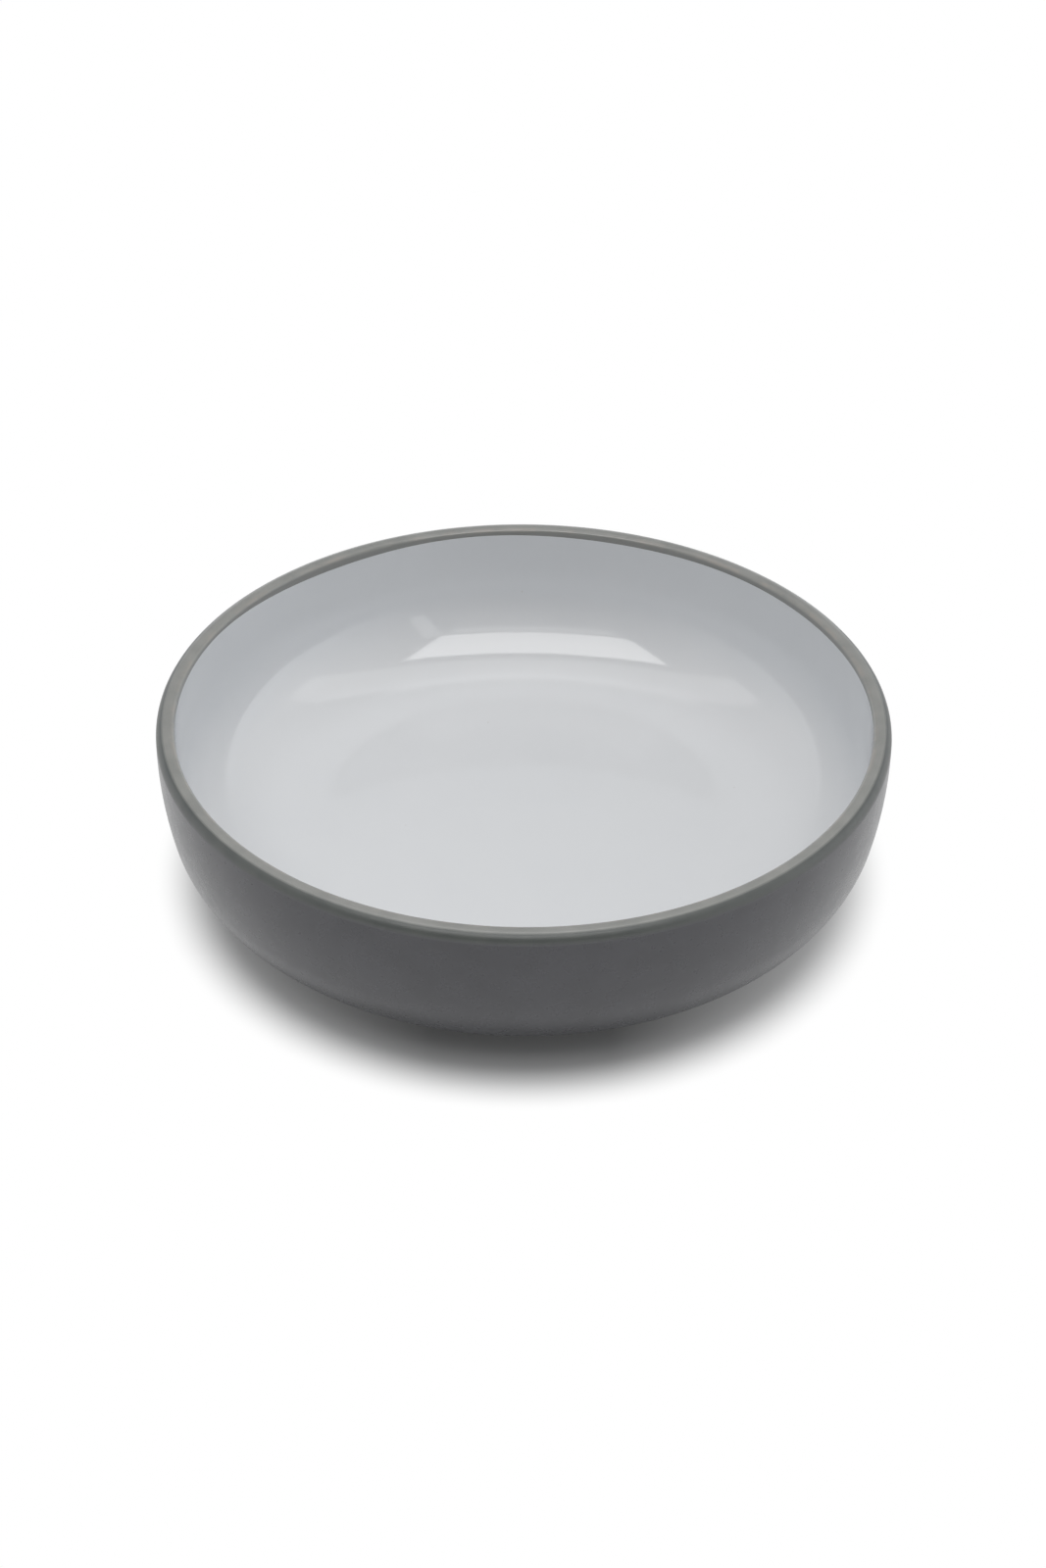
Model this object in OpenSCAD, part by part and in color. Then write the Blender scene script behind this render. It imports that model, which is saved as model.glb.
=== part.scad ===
// Two-tone stoneware cereal bowl. The fired clay body carries four coats of glaze:
// grey satin on the outside wall, a grey band over the rim, white gloss on the inside,
// and grey again in the recess that the bare foot ring encloses.
// The origin is the centre of the foot's resting plane, with +Z up.

/* [Bowl] */
// Diameter across the rim
bowl_d = 170; // [165:1:180]
// Height from the table to the top of the rim
bowl_h = 43; // [42:0.5:48]
// Thickness of the upper wall and of the floor, glaze included
wall_t = 4.3; // [3.8:0.1:5]

/* [Wall curve] */
// Radius of the slow curve that draws the upper wall inward
wall_curve_r = 90; // [82:1:120]
// Outer radius of the curve between the wall and the underside
corner_r = 22; // [19:0.5:24.5]

/* [Inside] */
// How far in from the rim's outer edge the flat floor ends and starts to lift
floor_inset = 37; // [35.5:0.5:37.5]
// Radius of the slow curve that lifts the floor's edge
floor_curve_r = 51.5; // [48:0.5:56]
// Slope in degrees at which the slow curve ends and the corner under the wall starts
floor_turn = 15.5; // [14:0.5:17]

/* [Rim] */
// Rounding of the rim's outer edge
rim_outer_round = 2.4; // [1.4:0.1:2.5]
// Rounding of the rim's inner edge
rim_inner_round = 1; // [0.6:0.1:1.2]
// How far the rim's band of glaze comes down the outside
rim_band_out = 2.6; // [2.6:0.1:3.2]
// How far the rim's band of glaze comes down the inside
rim_band_in = 1.7; // [1.4:0.1:2.2]

/* [Foot] */
// Outer diameter of the bare foot ring
foot_d = 100; // [84:1:102]
// Width of the foot ring
foot_w = 5; // [3:0.5:8]
// Height of the foot ring below the underside
foot_h = 3; // [2:0.5:4]
// Rounding of the foot ring's lower edges
foot_round = 0.8; // [0.4:0.1:1.2]

/* [Glaze] */
// Thickness of each coat of glaze
glaze_t = 0.4; // [0.2:0.1:0.5]

/* [Hidden] */
$fn = 180;

// Straight stretches that stand for each round one in the half section
corner_steps = 20;
wall_steps = 5;
floor_steps = 5;
inner_corner_steps = 14;
edge_steps = 6;

bowl_r = bowl_d/2;
inner_r = bowl_r - wall_t;
foot_r = foot_d/2;
recess_r = foot_r - foot_w;
floor_z = foot_h + wall_t;

// Lower edge of the rim's band outside, and the line inside where the white starts
band_z = bowl_h - rim_band_out;
line_z = bowl_h - rim_band_in;

// The slow curve is upright at the band's lower edge and runs smoothly into the corner,
// so the point where they meet lies on the line through both centres.
centre_gap = wall_curve_r - corner_r;
centre_drop = band_z - foot_h - corner_r;
wall_turn = asin(centre_drop/centre_gap);
wall_c = [bowl_r - wall_curve_r, band_z];
corner_c = wall_c + centre_gap*[cos(wall_turn), -sin(wall_turn)];

// Inside, the flat floor runs smoothly into the slow curve, and that into a corner. The corner's
// radius is the one at which it touches the slow curve's end and the wall.
inner_wall_r = wall_curve_r - wall_t;
lift_c = [bowl_r - floor_inset, floor_z + floor_curve_r];
lift_way = [sin(floor_turn), -cos(floor_turn)];
lift_end = lift_c + floor_curve_r*lift_way;
reach = lift_end - wall_c;
inner_corner_r = (inner_wall_r^2 - reach*reach)/(2*(inner_wall_r - reach*lift_way));
inner_corner_c = lift_end - inner_corner_r*lift_way;
inner_wall_turn = atan2(wall_c[1] - inner_corner_c[1], inner_corner_c[0] - wall_c[0]);

// Points on an arc. The first one is left out where the line before it ends there.
function arc(centre, r, from, to, steps, first = 0) =
    [for (i = [first:steps]) let (a = from + (to - from)*i/steps) centre + r*[cos(a), sin(a)]];

function backward(points) = [for (i = [len(points) - 1:-1:0]) points[i]];

// Half section of the outside at depth t under its face, from the underside up to the band's
// lower edge.
function wall_line(t) = concat(
    arc(corner_c, corner_r - t, -90, -wall_turn, corner_steps),
    arc(wall_c, wall_curve_r - t, -wall_turn, 0, wall_steps, first = 1));

// Half section of the inside at depth t under its face, from the floor's middle up to the
// height of the band's lower edge.
function inner_line(t) = concat(
    [[0, floor_z - t]],
    arc(lift_c, floor_curve_r + t, -90, floor_turn - 90, floor_steps),
    arc(inner_corner_c, inner_corner_r + t, floor_turn - 90, -inner_wall_turn, inner_corner_steps, first = 1),
    arc(wall_c, inner_wall_r + t, -inner_wall_turn, 0, wall_steps, first = 1));

// Half section of the rim at depth t under its face, from its outer rounding over the top
// to the white's edge inside.
function rim_line(t) = concat(
    arc([bowl_r - rim_outer_round, bowl_h - rim_outer_round], rim_outer_round - t, 0, 90, edge_steps),
    arc([inner_r + rim_inner_round, bowl_h - rim_inner_round], rim_inner_round - t, 90, 180, edge_steps),
    [[inner_r + t, line_z]]);

// Half section of the foot ring, from the recess round the resting edge to the underside.
function foot_line() = concat(
    [[recess_r, foot_h + glaze_t]],
    arc([recess_r + foot_round, foot_round], foot_round, 180, 270, edge_steps),
    arc([foot_r - foot_round, foot_round], foot_round, 270, 360, edge_steps),
    [[foot_r, foot_h + glaze_t]]);

// Fired clay: the foot ring, the underside, the wall and the rim, less the glaze on them
module stoneware_body() {
    color("tan")
        rotate_extrude()
            polygon(concat(
                [[0, foot_h + glaze_t]],
                foot_line(),
                wall_line(glaze_t),
                rim_line(glaze_t),
                backward(inner_line(glaze_t))));
}

// Grey satin coat on the outside, from the foot ring up to the rim's band
module outer_glaze() {
    color("dimgray")
        rotate_extrude()
            polygon(concat(
                [[foot_r, foot_h]],
                wall_line(0),
                backward(wall_line(glaze_t)),
                [[foot_r, foot_h + glaze_t]]));
}

// Grey band over the rounded rim, which ends just inside the bowl
module rim_glaze() {
    color("gray")
        rotate_extrude()
            polygon(concat(
                [[bowl_r, band_z]],
                rim_line(0),
                backward(rim_line(glaze_t)),
                [[bowl_r - glaze_t, band_z]]));
}

// White gloss coat on the floor and the inside of the wall
module inner_glaze() {
    color("whitesmoke")
        rotate_extrude()
            polygon(concat(
                inner_line(0),
                [[inner_r, line_z], [inner_r + glaze_t, line_z]],
                backward(inner_line(glaze_t))));
}

// Grey coat on the underside inside the foot ring
module recess_glaze() {
    color("dimgray")
        translate([0, 0, foot_h])
            cylinder(r = recess_r, h = glaze_t);
}

stoneware_body();
outer_glaze();
rim_glaze();
inner_glaze();
recess_glaze();
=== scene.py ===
"""Looks of a two-tone stoneware cereal bowl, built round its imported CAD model.

Each coat of glaze and the clay under it is a smooth closed mesh that replaces its CAD node.
"""
import math

import bmesh
import bpy
from mathutils import Euler, Matrix, Vector


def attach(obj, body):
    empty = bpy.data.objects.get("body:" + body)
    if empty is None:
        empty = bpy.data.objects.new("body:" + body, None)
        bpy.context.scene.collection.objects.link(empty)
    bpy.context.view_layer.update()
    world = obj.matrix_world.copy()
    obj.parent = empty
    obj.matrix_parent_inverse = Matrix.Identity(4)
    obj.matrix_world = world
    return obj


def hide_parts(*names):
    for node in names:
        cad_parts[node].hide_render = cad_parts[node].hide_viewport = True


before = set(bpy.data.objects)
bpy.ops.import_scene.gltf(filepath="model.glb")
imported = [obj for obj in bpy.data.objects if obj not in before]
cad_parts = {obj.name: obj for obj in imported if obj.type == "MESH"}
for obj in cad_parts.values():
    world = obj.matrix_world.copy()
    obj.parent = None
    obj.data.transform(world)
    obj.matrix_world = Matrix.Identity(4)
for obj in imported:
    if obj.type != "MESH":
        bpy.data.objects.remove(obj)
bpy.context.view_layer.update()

MM = 0.001

# Sizes of the bowl in millimetres and degrees, the same as in its CAD source
BOWL_R = 85.0
BOWL_H = 43.0
WALL_T = 4.3
WALL_CURVE_R = 90.0
CORNER_R = 22.0
FLOOR_INSET = 37.0
FLOOR_CURVE_R = 51.5
FLOOR_TURN = 15.5
RIM_OUTER_ROUND = 2.4
RIM_INNER_ROUND = 1.0
RIM_BAND_OUT = 2.6
FOOT_R = 50.0
FOOT_W = 5.0
FOOT_H = 3.0
FOOT_ROUND = 0.8
GLAZE_T = 0.4

INNER_R = BOWL_R - WALL_T
RECESS_R = FOOT_R - FOOT_W
FLOOR_Z = FOOT_H + WALL_T
BAND_Z = BOWL_H - RIM_BAND_OUT

# The slow curve of the wall is upright at the rim's band and runs smoothly into the corner
CENTRE_GAP = WALL_CURVE_R - CORNER_R
WALL_TURN = math.degrees(math.asin((BAND_Z - FOOT_H - CORNER_R) / CENTRE_GAP))
WALL_C = (BOWL_R - WALL_CURVE_R, BAND_Z)
CORNER_C = (
    WALL_C[0] + CENTRE_GAP * math.cos(math.radians(WALL_TURN)),
    WALL_C[1] - CENTRE_GAP * math.sin(math.radians(WALL_TURN)),
)

# Inside, the flat floor runs into a slow curve and then into a corner that meets the wall smoothly
LIFT_C = (BOWL_R - FLOOR_INSET, FLOOR_Z + FLOOR_CURVE_R)
INNER_WALL_R = WALL_CURVE_R - WALL_T
TURN_SIN = math.sin(math.radians(FLOOR_TURN))
TURN_COS = math.cos(math.radians(FLOOR_TURN))
LIFT_END = (LIFT_C[0] + FLOOR_CURVE_R * TURN_SIN, LIFT_C[1] - FLOOR_CURVE_R * TURN_COS)
REACH = (LIFT_END[0] - WALL_C[0], LIFT_END[1] - WALL_C[1])
INNER_CORNER_R = (INNER_WALL_R ** 2 - REACH[0] ** 2 - REACH[1] ** 2) / (
    2 * (INNER_WALL_R - REACH[0] * TURN_SIN + REACH[1] * TURN_COS)
)
INNER_CORNER_C = (LIFT_END[0] - INNER_CORNER_R * TURN_SIN, LIFT_END[1] + INNER_CORNER_R * TURN_COS)
INNER_WALL_TURN = math.degrees(
    math.atan2(WALL_C[1] - INNER_CORNER_C[1], INNER_CORNER_C[0] - WALL_C[0])
)

# The line inside the rim where the white starts is laid by hand. Its depth below the rim's top
# wanders round the bowl in waves: count round the bowl, height in millimetres, start in degrees.
LINE_DEPTH = 1.88
LINE_WAVES = ((2, 0.08, -160), (5, 0.24, -172), (7, 0.25, -89))
# Radius of the small round edge that each coat ends in
COAT_EDGE = 0.1

# How finely the meshes follow the round stretches
TURN_STEPS = 256
CORNER_STEPS = 32
WALL_STEPS = 16
FLOOR_STEPS = 12
EDGE_STEPS = 8
# Points nearer to each other than this are one, and edges that turn more than this are sharp
WELD_REACH = 0.001
SHARP_TURN = 35


def arc(centre, r, start, end, steps):
    """Points on an arc of a half section, with angles in degrees from the outward direction."""
    points = []
    for i in range(steps + 1):
        a = math.radians(start + (end - start) * i / steps)
        points.append((centre[0] + r * math.cos(a), centre[1] + r * math.sin(a)))
    return points


def wall_face(depth):
    """Half section of the wall at a depth under its outer face, from the underside to the band."""
    corner = arc(CORNER_C, CORNER_R - depth, -90, -WALL_TURN, CORNER_STEPS)
    upper = arc(WALL_C, WALL_CURVE_R - depth, -WALL_TURN, 0, WALL_STEPS)
    return corner + upper[1:]


def rim_face(depth):
    """Half section of the rim at a depth under its face, from its outer rounding over the top."""
    outer_c = (BOWL_R - RIM_OUTER_ROUND, BOWL_H - RIM_OUTER_ROUND)
    inner_c = (INNER_R + RIM_INNER_ROUND, BOWL_H - RIM_INNER_ROUND)
    outer = arc(outer_c, RIM_OUTER_ROUND - depth, 0, 90, EDGE_STEPS)
    inner = arc(inner_c, RIM_INNER_ROUND - depth, 90, 180, EDGE_STEPS)
    return outer + inner


def inner_face(depth):
    """Half section of the inside at a depth under its face, from the floor's middle to the band."""
    middle = [(0, FLOOR_Z - depth)]
    lift = arc(LIFT_C, FLOOR_CURVE_R + depth, -90, FLOOR_TURN - 90, FLOOR_STEPS)
    corner_r = INNER_CORNER_R + depth
    corner = arc(INNER_CORNER_C, corner_r, FLOOR_TURN - 90, -INNER_WALL_TURN, CORNER_STEPS)
    upper = arc(WALL_C, INNER_WALL_R + depth, -INNER_WALL_TURN, 0, WALL_STEPS)
    return middle + lift + corner[1:] + upper[1:]


def line_z(angle):
    """Height of the white's edge at an angle round the bowl."""
    depth = LINE_DEPTH
    for count, rise, start in LINE_WAVES:
        depth += rise * math.sin(count * angle + math.radians(start))
    return BOWL_H - depth


def clay_section(angle):
    """Clay: the recess, the bare foot ring, the wall under its coats and the floor."""
    recess_z = FOOT_H + GLAZE_T
    foot = arc((RECESS_R + FOOT_ROUND, FOOT_ROUND), FOOT_ROUND, 180, 270, EDGE_STEPS)
    foot += arc((FOOT_R - FOOT_ROUND, FOOT_ROUND), FOOT_ROUND, 270, 360, EDGE_STEPS)
    under = [(0, recess_z), (RECESS_R, recess_z)] + foot + [(FOOT_R, recess_z)]
    edge = [(INNER_R + GLAZE_T, line_z(angle))]
    return under + wall_face(GLAZE_T) + rim_face(GLAZE_T) + edge + inner_face(GLAZE_T)[::-1]


def outer_section(angle):
    """Grey coat outside, from its round edge at the foot ring up to the rim's band."""
    edge = arc((FOOT_R + COAT_EDGE, FOOT_H + COAT_EDGE), COAT_EDGE, 180, 270, EDGE_STEPS)
    back = wall_face(GLAZE_T)[::-1]
    return edge + wall_face(0) + back + [(FOOT_R, FOOT_H + GLAZE_T)]


def rim_section(angle):
    """Grey band over the rim, down to the wandering line inside."""
    z = line_z(angle)
    edge = arc((INNER_R + COAT_EDGE, z + COAT_EDGE), COAT_EDGE, 180, 270, EDGE_STEPS)
    face = [(BOWL_R, BAND_Z)] + rim_face(0) + edge + [(INNER_R + GLAZE_T, z)]
    return face + rim_face(GLAZE_T)[::-1] + [(BOWL_R - GLAZE_T, BAND_Z)]


def inner_section(angle):
    """White coat on the floor and inside wall, up to the wandering line."""
    z = line_z(angle)
    edge = arc((INNER_R + COAT_EDGE, z - COAT_EDGE), COAT_EDGE, 180, 90, EDGE_STEPS)
    return inner_face(0) + edge + [(INNER_R + GLAZE_T, z)] + inner_face(GLAZE_T)[::-1]


def recess_section(angle):
    """Grey coat on the underside inside the foot ring."""
    edge = arc((RECESS_R - COAT_EDGE, FOOT_H + COAT_EDGE), COAT_EDGE, 270, 360, EDGE_STEPS)
    return [(0, FOOT_H)] + edge + [(RECESS_R, FOOT_H + GLAZE_T), (0, FOOT_H + GLAZE_T)]


def lathe(name, section, look, node):
    """Turns a section, drawn anew at each angle, into a closed smooth mesh that replaces a node."""
    points = []
    for turn in range(TURN_STEPS):
        a = 2 * math.pi * turn / TURN_STEPS
        points += [(r * math.cos(a) * MM, r * math.sin(a) * MM, z * MM) for r, z in section(a)]
    count = len(points) // TURN_STEPS
    faces = []
    for turn in range(TURN_STEPS):
        here, there = turn * count, (turn + 1) % TURN_STEPS * count
        for i in range(count):
            j = (i + 1) % count
            faces.append((here + i, there + i, there + j, here + j))
    mesh = bpy.data.meshes.new(name)
    mesh.from_pydata(points, [], faces)
    mesh.materials.append(look)
    piece = bpy.data.objects.new(name, mesh)
    bpy.context.scene.collection.objects.link(piece)
    weld(mesh)
    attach(piece, "root")
    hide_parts(node)


def weld(mesh):
    """Joins the points that meet on the axis, turns all faces outward and shades them smooth."""
    work = bmesh.new()
    work.from_mesh(mesh)
    bmesh.ops.remove_doubles(work, verts=work.verts, dist=WELD_REACH * MM)
    bmesh.ops.dissolve_degenerate(work, edges=work.edges, dist=WELD_REACH * MM)
    bmesh.ops.recalc_face_normals(work, faces=work.faces)
    work.to_mesh(mesh)
    work.free()
    mesh.shade_smooth()
    mesh.set_sharp_from_angle(angle=math.radians(SHARP_TURN))


def rgb(red, green, blue):
    """A colour for a shader's socket."""
    return (red, green, blue, 1.0)


def add(tree, kind, values=None, **settings):
    """Adds a node. Each value is set on its socket, or linked where it is another node's output."""
    node = tree.nodes.new(kind)
    for key, setting in settings.items():
        setattr(node, key, setting)
    for socket, value in (values or {}).items():
        if isinstance(value, bpy.types.NodeSocket):
            tree.links.new(value, node.inputs[socket])
        else:
            node.inputs[socket].default_value = value
    return node


def calculate(tree, operation, *values):
    """Result of an operation on numbers."""
    return add(tree, "ShaderNodeMath", dict(enumerate(values)), operation=operation).outputs[0]


def remap(tree, value, low, high, to_low=0.0, to_high=1.0, interpolation="LINEAR"):
    """Turns a range of values into another, held at its ends."""
    values = {0: value, 1: low, 2: high, 3: to_low, 4: to_high}
    return add(tree, "ShaderNodeMapRange", values, interpolation_type=interpolation).outputs[0]


def mix(tree, factor, first, second):
    """Blends two colours."""
    values = {0: factor, 6: first, 7: second}
    return add(tree, "ShaderNodeMix", values, data_type="RGBA").outputs[2]


def place(tree):
    """Position in metres from the centre of the bowl's resting plane."""
    return add(tree, "ShaderNodeTexCoord").outputs["Object"]


def coordinate(tree, vector, axis):
    """One coordinate of a vector."""
    return add(tree, "ShaderNodeSeparateXYZ", {"Vector": vector}).outputs[axis]


def height(tree):
    """Height above the table in metres."""
    return coordinate(tree, place(tree), "Z")


def radius(tree, wide=1.0):
    """Distance from the bowl's axis in metres, counted wider from side to side."""
    values = {0: place(tree), 1: (wide, 1, 0)}
    flat = add(tree, "ShaderNodeVectorMath", values, operation="MULTIPLY").outputs[0]
    return add(tree, "ShaderNodeVectorMath", {0: flat}, operation="LENGTH").outputs["Value"]


def noise(tree, size, detail=2.0):
    """Cloudy variation on the surface. Size is that of its larger spots in millimetres."""
    values = {"Vector": place(tree), "Scale": 1 / (size * MM), "Detail": detail}
    return add(tree, "ShaderNodeTexNoise", values).outputs["Fac"]


def specks(tree, spacing, size, strength):
    """Sparse round specks. Spacing and size are in millimetres."""
    values = {"Vector": place(tree), "Scale": 1 / (spacing * MM)}
    away = add(tree, "ShaderNodeTexVoronoi", values).outputs["Distance"]
    return remap(tree, away, size / spacing, 0.5 * size / spacing, 0.0, strength)


def bump(tree, layers):
    """Bump from layers of noise, each with its size and depth in millimetres and its detail."""
    normal = None
    for size, depth, detail in layers:
        values = {"Height": noise(tree, size, detail), "Distance": depth * MM, "Strength": 1.0}
        if normal:
            values["Normal"] = normal
        normal = add(tree, "ShaderNodeBump", values).outputs["Normal"]
    return normal


def make_look(name):
    """A material with only its shader, and the node tree to build it in."""
    material = bpy.data.materials.new(name)
    material.use_nodes = True
    tree = material.node_tree
    return material, tree, tree.nodes["Principled BSDF"]


def dress(tree, shader, tone, rough, layers):
    """Gives a shader its colour, its roughness and its bump."""
    tree.links.new(tone, shader.inputs["Base Color"])
    tree.links.new(rough, shader.inputs["Roughness"])
    tree.links.new(bump(tree, layers), shader.inputs["Normal"])


# Sizes in the looks are in millimetres. A noise that is stretched from these values to its full
# range has a strong or a soft contrast.
STRONG = (0.35, 0.65)
SOFT = (0.3, 0.7)
# The white and the rim mirror a little more than plain glass does
GLOSS_IOR = 1.6

# White inside: its tone on the floor and high on the wall, and the heights between which it changes
WHITE_FLOOR = rgb(0.62, 0.623, 0.629)
# The wall's darker, cooler tone is partly thinner glaze and partly painted shade on the steep wall
WHITE_WALL_THIN_SHADED = rgb(0.545, 0.557, 0.573)
WHITE_THINNING_AND_SHADE = (15.0, 26.0)
# Clouds in that change, by their size and strength
WHITE_CLOUD = 24
WHITE_DRIFT = 0.06
# Specks, by their colour and by their spacing, size and strength
WHITE_SPECK = rgb(0.42, 0.4, 0.37)
WHITE_SPECKS = (12, 0.35, 0.4)
WHITE_ROUGH = (0.06, 0.08)
WHITE_GRAIN = 6
WHITE_BUMP = ((30, 0.02, 0.0), (1.2, 0.0006, 1.0))


def white_gloss():
    """White glaze inside: glossy, darker up the wall from thinner glaze and from painted shade."""
    material, tree, shader = make_look("white_gloss_glaze")
    cloud = remap(tree, noise(tree, WHITE_CLOUD), *STRONG, -WHITE_DRIFT, WHITE_DRIFT)
    rise = remap(tree, height(tree), WHITE_THINNING_AND_SHADE[0] * MM, WHITE_THINNING_AND_SHADE[1] * MM)
    thin_and_shaded = calculate(tree, "ADD", rise, cloud)
    tone = mix(tree, thin_and_shaded, WHITE_FLOOR, WHITE_WALL_THIN_SHADED)
    tone = mix(tree, specks(tree, *WHITE_SPECKS), tone, WHITE_SPECK)
    rough = remap(tree, noise(tree, WHITE_GRAIN), *SOFT, *WHITE_ROUGH)
    dress(tree, shader, tone, rough, WHITE_BUMP)
    shader.inputs["IOR"].default_value = GLOSS_IOR
    return material


# Both grey glazes: the finer detail of their noise, the size of the spots in their roughness, and
# their sheen in grazing light
SATIN_DETAIL = 3.0
SATIN_GRAIN = 3
SHEEN = 0.05
SHEEN_ROUGHNESS = 0.5

# Grey outside
GREY_LOW = rgb(0.048, 0.048, 0.053)
GREY_HIGH = rgb(0.055, 0.055, 0.061)
GREY_CLOUD = 9
GREY_ROUGH = (0.26, 0.31)
GREY_BUMP = ((3, 0.002, 1.0), (14, 0.03, 0.0))


def add_sheen(shader):
    """Faint sheen of a satin glaze."""
    shader.inputs["Sheen Weight"].default_value = SHEEN
    shader.inputs["Sheen Roughness"].default_value = SHEEN_ROUGHNESS


def grey_satin(name):
    """Grey satin glaze outside, faintly cloudy."""
    material, tree, shader = make_look(name)
    cloud = remap(tree, noise(tree, GREY_CLOUD, SATIN_DETAIL), *STRONG)
    tone = mix(tree, cloud, GREY_LOW, GREY_HIGH)
    rough = remap(tree, noise(tree, SATIN_GRAIN, SATIN_DETAIL), *SOFT, *GREY_ROUGH)
    dress(tree, shader, tone, rough, GREY_BUMP)
    add_sheen(shader)
    return material


# Rim: its shoulder outside, which runs into the wall's grey over this height above the band's
# lower edge
SHOULDER_LOW = rgb(0.055, 0.06, 0.056)
SHOULDER_HIGH = rgb(0.067, 0.072, 0.066)
SHOULDER_RUN = 0.9
RIM_CLOUD = 7
# Its pale crown, which starts at the first distance in from the outer edge and is full at the second
# The crown's paleness is partly a glaze break and partly painted light on the top, which faces the
# lamps
CROWN_LOW = rgb(0.208, 0.208, 0.194)
CROWN_HIGH = rgb(0.24, 0.238, 0.222)
CROWN_REACH = (1.15, 1.65)
# Warm patches, from the first distance outside the inner face to the second, by size and by the
# values of the noise between which they start and are full
WARM_EDGE = rgb(0.268, 0.25, 0.226)
WARM_REACH = (1.4, 0.3)
WARM_CLOUD = 5
WARM_START = (0.42, 0.62)
# Painted shade on its lip inside the crown, from the first depth below the rim's top to the second
SHADED_LIP = rgb(0.185, 0.187, 0.177)
SHADED_LIP_DEPTH = (0.25, 0.8)
# The crown's roughness, and how much rougher the shoulder is
RIM_ROUGH = (0.15, 0.19)
SHOULDER_ROUGHER = 0.25
RIM_BUMP = ((3, 0.002, 1.0), (10, 0.03, 0.0))


def rim_satin():
    """Greenish grey glaze over the rim. Over the crown it is pale, partly a glaze break and partly
    painted light; its inner lip has painted shade; it is warmer in patches along the crown's inner
    edge."""
    material, tree, shader = make_look("rim_satin_glaze")
    up, out = height(tree), radius(tree)
    cloud = remap(tree, noise(tree, RIM_CLOUD, SATIN_DETAIL), *STRONG)
    shoulder = mix(tree, cloud, SHOULDER_LOW, SHOULDER_HIGH)
    run = remap(tree, up, (BAND_Z + SHOULDER_RUN) * MM, BAND_Z * MM)
    shoulder = mix(tree, run, shoulder, GREY_HIGH)
    pale = mix(tree, cloud, CROWN_LOW, CROWN_HIGH)
    edge = remap(tree, out, (INNER_R + WARM_REACH[0]) * MM, (INNER_R + WARM_REACH[1]) * MM)
    patches = remap(tree, noise(tree, WARM_CLOUD, SATIN_DETAIL), *WARM_START)
    pale = mix(tree, calculate(tree, "MULTIPLY", edge, patches), pale, WARM_EDGE)
    # Painted shade: the lip inside the crown is darker than the crown
    shaded_lip = remap(tree, up, (BOWL_H - SHADED_LIP_DEPTH[0]) * MM, (BOWL_H - SHADED_LIP_DEPTH[1]) * MM)
    pale = mix(tree, shaded_lip, pale, SHADED_LIP)
    crown = remap(tree, out, (BOWL_R - CROWN_REACH[0]) * MM, (BOWL_R - CROWN_REACH[1]) * MM)
    tone = mix(tree, crown, shoulder, pale)
    smooth = remap(tree, noise(tree, SATIN_GRAIN, SATIN_DETAIL), *SOFT, *RIM_ROUGH)
    rougher = remap(tree, crown, 0.0, 1.0, SHOULDER_ROUGHER, 0.0)
    dress(tree, shader, tone, calculate(tree, "ADD", smooth, rougher), RIM_BUMP)
    shader.inputs["IOR"].default_value = GLOSS_IOR
    add_sheen(shader)
    return material


# Bare clay: its clouds and its dark grains, each with a size and the finer detail of its noise, and
# the values of the noise between which the grains start and are full
CLAY_LOW = rgb(0.47, 0.40, 0.315)
CLAY_HIGH = rgb(0.57, 0.50, 0.40)
CLAY_CLOUD = (4, 4.0)
CLAY_SPECK = rgb(0.2, 0.15, 0.11)
CLAY_GRAIN = (0.9, 1.0)
CLAY_GRAIN_START = (0.7, 0.74)
CLAY_ROUGH = (0.8, 0.95)
CLAY_BUMP = ((0.4, 0.05, 3.0),)


def bare_clay():
    """Fired clay of the foot ring: dry, grainy and lightly specked."""
    material, tree, shader = make_look("bare_stoneware")
    cloud = remap(tree, noise(tree, *CLAY_CLOUD), *SOFT)
    tone = mix(tree, cloud, CLAY_LOW, CLAY_HIGH)
    grains = remap(tree, noise(tree, *CLAY_GRAIN), *CLAY_GRAIN_START)
    tone = mix(tree, grains, tone, CLAY_SPECK)
    rough = remap(tree, cloud, 0.0, 1.0, *CLAY_ROUGH)
    dress(tree, shader, tone, rough, CLAY_BUMP)
    return material


def make_bowl():
    """All pieces of the bowl."""
    lathe("clay_body", clay_section, bare_clay(), "stoneware_body")
    lathe("outer_coat", outer_section, grey_satin("grey_satin_glaze"), "outer_glaze")
    lathe("rim_coat", rim_section, rim_satin(), "rim_glaze")
    lathe("inner_coat", inner_section, white_gloss(), "inner_glaze")
    lathe("recess_coat", recess_section, grey_satin("grey_recess_glaze"), "recess_glaze")


# Lamps: soft panels by name, with their centre and size in metres, the way they face and the
# brightness of their surface
LAMPS = (
    ("front_softbox", (-0.08, -0.5, 0.964), (1.2, 0.5), (0, 0.115, -0.993), 3.4),
    ("overhead_panel", (0.0, 0.06, 1.0), (3.0, 0.4), (0, 0, -1), 0.8),
    ("front_scrim", (-0.08, -0.84, 0.9), (1.1, 0.15), (0, 0.4, -0.9), 0.9),
    ("back_strip", (-0.08, 0.28, 1.0), (0.8, 0.12), (0, -0.3, -0.95), 0.6),
    ("strip_lamp", (0.61, -0.81, 0.64), (0.12, 0.55), (-0.51, 0.68, -0.53), 1.0),
)
# The room has an even dim level, and glows that brighten it toward a direction, each with how
# narrow and how bright it is
ROOM_TINT = rgb(0.97, 1.0, 1.03)
ROOM_DIM = 0.1
ROOM_GLOWS = (
    ((0, 1, 0), 1, 0.32),
    ((0, 0.34, 0.94), 8, 0.82),
    ((1, 0, 0), 3, 1.4),
    ((-1, 0, 0), 3, 0.88),
)
# Behind the bowl the room is brighter along its horizon. These are the parts of a direction's
# length, backward and upward, between which that starts and is full.
HORIZON = 0.8
HORIZON_BACK = (0.2, 0.9)
HORIZON_UP = (0.35, 0.1)
WHITE = rgb(1, 1, 1)


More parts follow.
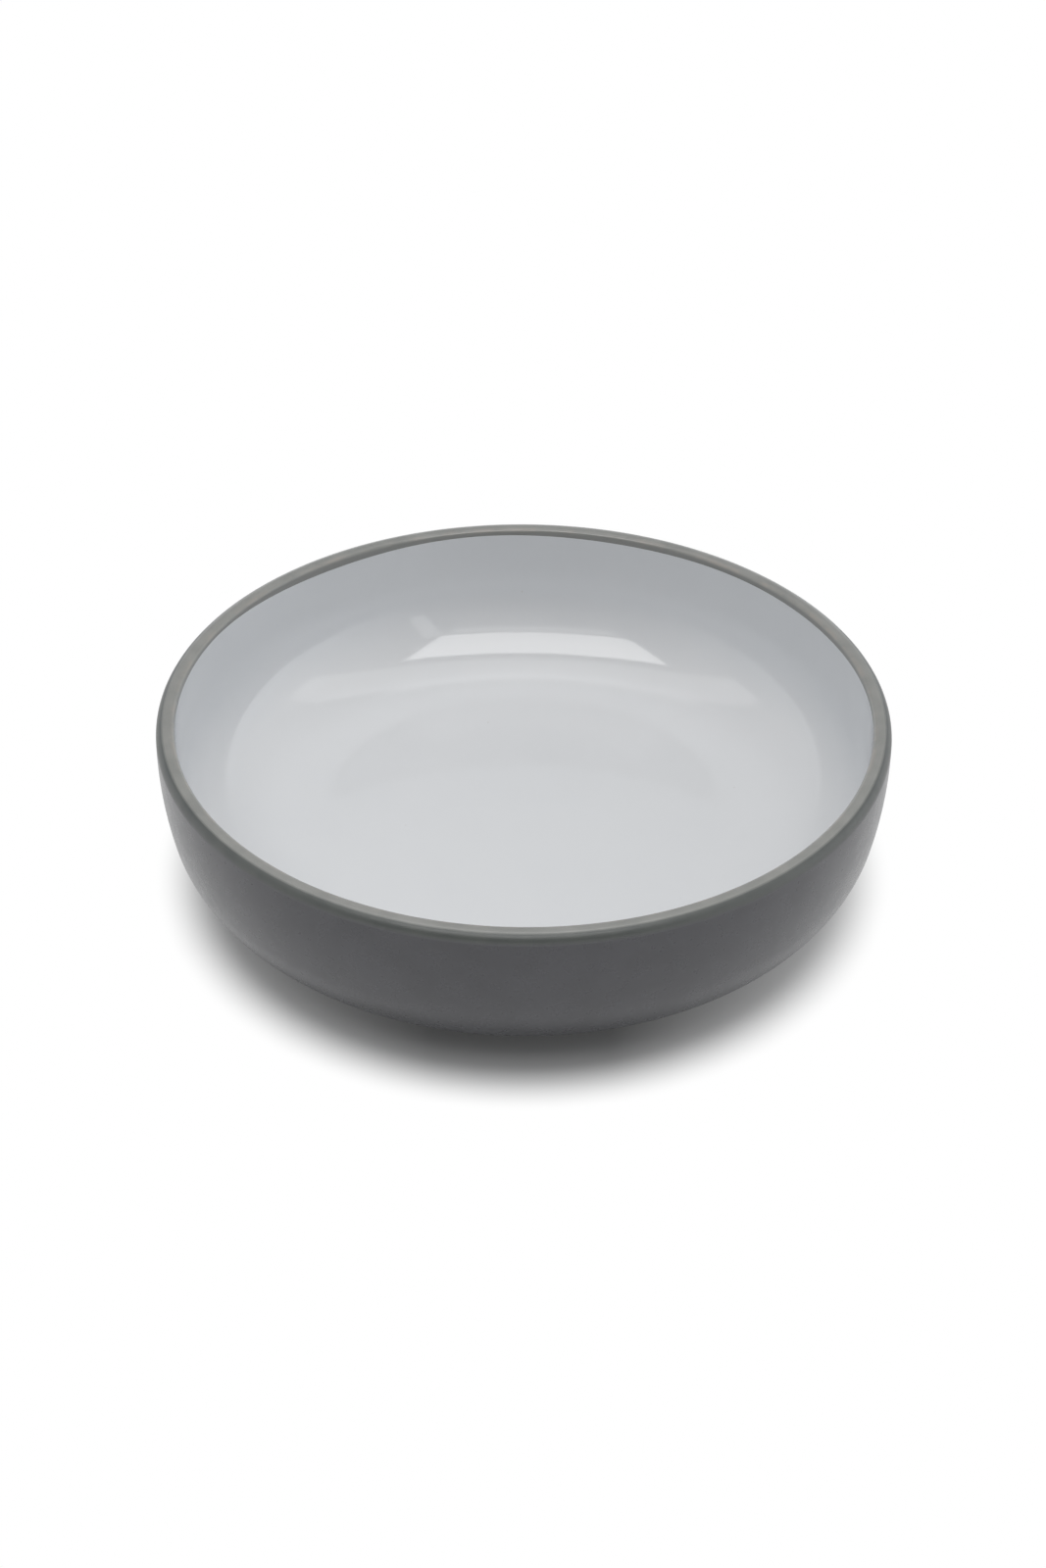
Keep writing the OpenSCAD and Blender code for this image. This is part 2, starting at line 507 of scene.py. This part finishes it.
def panel(name, centre, size, facing, brightness):
    """A soft flat lamp whose surface has an even brightness. The camera doesn't see it."""
    lamp = bpy.data.lights.new(name, "AREA")
    lamp.shape = "RECTANGLE"
    lamp.size, lamp.size_y = size
    lamp.energy = brightness * math.pi * size[0] * size[1]
    holder = bpy.data.objects.new(name, lamp)
    holder.location = centre
    holder.rotation_euler = Vector(facing).to_track_quat("-Z", "Y").to_euler()
    holder.visible_camera = False
    bpy.context.scene.collection.objects.link(holder)


def room_level(tree):
    """Brightness of the room in each direction."""
    way = add(tree, "ShaderNodeTexCoord").outputs["Generated"]
    behind = remap(tree, coordinate(tree, way, "Y"), *HORIZON_BACK, 0.0, HORIZON)
    low = remap(tree, coordinate(tree, way, "Z"), *HORIZON_UP)
    level = calculate(tree, "MULTIPLY_ADD", behind, low, ROOM_DIM)
    for toward, narrow, strength in ROOM_GLOWS:
        values = {0: way, 1: toward}
        along = add(tree, "ShaderNodeVectorMath", values, operation="DOT_PRODUCT").outputs["Value"]
        glow = calculate(tree, "POWER", remap(tree, along, 0.0, 1.0), narrow)
        level = calculate(tree, "MULTIPLY_ADD", glow, strength, level)
    return level


def make_light():
    """Studio lamps in a softly lit room, which is plain white only to the camera."""
    for lamp in LAMPS:
        panel(*lamp)
    world = bpy.data.worlds.new("studio")
    world.use_nodes = True
    bpy.context.scene.world = world
    tree = world.node_tree
    tree.nodes.clear()
    room = add(tree, "ShaderNodeBackground", {"Color": ROOM_TINT, "Strength": room_level(tree)})
    white = add(tree, "ShaderNodeBackground", {"Color": WHITE, "Strength": 1.0})
    seen = add(tree, "ShaderNodeLightPath").outputs["Is Camera Ray"]
    both = add(tree, "ShaderNodeMixShader", {0: seen, 1: room.outputs[0], 2: white.outputs[0]})
    add(tree, "ShaderNodeOutputWorld", {"Surface": both.outputs[0]})


# Table, in metres. It is pale to the light that it throws back at the bowl, and darker to the camera
# and in reflections, where it holds the bowl's shadow: that darker tone is painted shade.
TABLE_SIZE = 4.0
TABLE_PALE = rgb(0.8, 0.8, 0.8)
TABLE_SEEN = rgb(0.3, 0.3, 0.3)
# Painted light: the least glow of the table in the bowl's shadow
PAINTED_SHADOW_LEAST = 0.04
# Painted light under the bowl, a glow on the table toward its right and its left, from the first
# distance out from the middle, and in full from the second
PAINTED_SIDE_LIGHT = (0.19, 0.11)
SIDE_REACH = (0.02, 0.07)
# Over these distances from the middle the shadow ends in plain white. From side to side it is
# narrower.
SHADOW_REACH = (0.0755, 0.092)
SHADOW_NARROW = 1.055


def painted_shadow_light(tree):
    """Painted light in the bowl's shadow: a faint glow on the table, stronger toward both sides."""
    across = coordinate(tree, place(tree), "X")
    near, far = SIDE_REACH
    right = remap(tree, across, near, far, PAINTED_SHADOW_LEAST, PAINTED_SHADOW_LEAST + PAINTED_SIDE_LIGHT[0])
    left = remap(tree, across, -near, -far, 0.0, PAINTED_SIDE_LIGHT[1])
    return calculate(tree, "ADD", right, left)


def white_table():
    """White all over, but for the bowl's shadow."""
    material = bpy.data.materials.new("white_table")
    material.use_nodes = True
    tree = material.node_tree
    tree.nodes.clear()
    plain = add(tree, "ShaderNodeBsdfDiffuse", {"Color": TABLE_PALE}).outputs[0]
    # Painted shade: to the camera the table near the bowl is darker, which deepens its cast shadow
    shade = add(tree, "ShaderNodeBsdfDiffuse", {"Color": TABLE_SEEN}).outputs[0]
    # Painted light: the table glows faintly in the bowl's shadow
    painted_light = add(tree, "ShaderNodeEmission", {"Strength": painted_shadow_light(tree)}).outputs[0]
    shadow = add(tree, "ShaderNodeAddShader", {0: shade, 1: painted_light}).outputs[0]
    white = add(tree, "ShaderNodeEmission", {"Color": WHITE, "Strength": 1.0}).outputs[0]
    far = remap(tree, radius(tree, SHADOW_NARROW), *SHADOW_REACH, interpolation="SMOOTHSTEP")
    seen = add(tree, "ShaderNodeMixShader", {0: far, 1: shadow, 2: white}).outputs[0]
    path = add(tree, "ShaderNodeLightPath").outputs
    look = calculate(tree, "MAXIMUM", path["Is Camera Ray"], path["Is Glossy Ray"])
    both = add(tree, "ShaderNodeMixShader", {0: look, 1: plain, 2: seen}).outputs[0]
    add(tree, "ShaderNodeOutputMaterial", {"Surface": both})
    return material


def make_floor():
    """White table, which keeps the bowl's shadow."""
    half = TABLE_SIZE / 2
    mesh = bpy.data.meshes.new("table")
    corners = [(-half, -half, 0), (half, -half, 0), (half, half, 0), (-half, half, 0)]
    mesh.from_pydata(corners, [], [(0, 1, 2, 3)])
    mesh.materials.append(white_table())
    floor = bpy.data.objects.new("table", mesh)
    bpy.context.scene.collection.objects.link(floor)


# Camera fitted to the bowl's outline in the photograph, in metres, degrees and millimetres of film
CAMERA_PLACE = (-0.000127, -0.83191, 0.61127)
CAMERA_DOWN = 35.25
CAMERA_ROLL = 0.369
CAMERA_LENS = 100.0
CAMERA_FILM = 36.0


def make_camera():
    """Camera at the photograph's viewing angle."""
    data = bpy.data.cameras.new("camera")
    data.lens = CAMERA_LENS
    data.sensor_width = CAMERA_FILM
    camera = bpy.data.objects.new("camera", data)
    tilt = Euler((math.radians(90 - CAMERA_DOWN), 0, 0)).to_matrix().to_4x4()
    roll = Matrix.Rotation(math.radians(CAMERA_ROLL), 4, "Z")
    camera.matrix_world = Matrix.Translation(CAMERA_PLACE) @ tilt @ roll
    bpy.context.scene.collection.objects.link(camera)
    bpy.context.scene.camera = camera


make_bowl()
make_light()
make_floor()
make_camera()
bpy.context.scene.view_settings.view_transform = "Standard"
